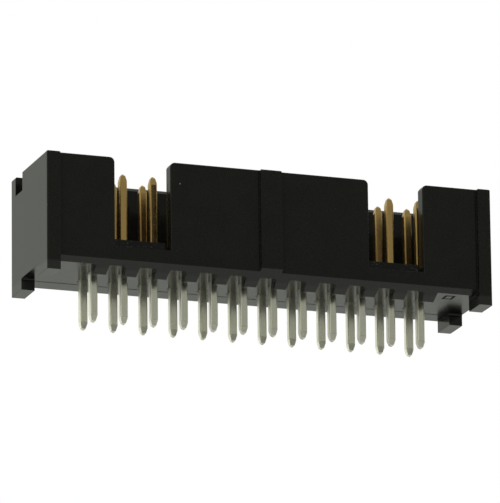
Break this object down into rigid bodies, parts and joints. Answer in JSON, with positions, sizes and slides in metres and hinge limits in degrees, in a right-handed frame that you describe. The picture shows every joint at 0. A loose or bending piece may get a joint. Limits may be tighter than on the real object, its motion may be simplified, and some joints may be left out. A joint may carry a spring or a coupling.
{
  "type": "shrouded pin header",
  "caption": "Board-mounted shrouded header: a long open-topped housing around rows of square pins, with wall windows, a front rib and corner standoff feet.",
  "frame": {"origin": "board plane, on which the four feet stand, at the centre of the grid of contacts", "axes": "+X along the rows, towards the end with the framed mark; +Y towards the plain back wall, so the wall with the windows and the rib is at -Y; +Z in the mating direction, away from the board"},
  "size_m": [0.0378, 0.0093, 0.013],
  "materials": {
    "housing": "moulded, slightly glossy black",
    "contact": "gold plated above the floor, bright tin plated tails below it"
  },
  "bodies": {
    "root": {"housing": "housing", "contact_front_01": "contact", "contact_front_02": "contact", "contact_front_03": "contact", "contact_front_04": "contact", "contact_front_05": "contact", "contact_front_06": "contact", "contact_front_07": "contact", "contact_front_08": "contact", "contact_front_09": "contact", "contact_front_10": "contact", "contact_front_11": "contact", "contact_front_12": "contact", "contact_back_01": "contact", "contact_back_02": "contact", "contact_back_03": "contact", "contact_back_04": "contact", "contact_back_05": "contact", "contact_back_06": "contact", "contact_back_07": "contact", "contact_back_08": "contact", "contact_back_09": "contact", "contact_back_10": "contact", "contact_back_11": "contact", "contact_back_12": "contact"}
  },
  "joints": []
}
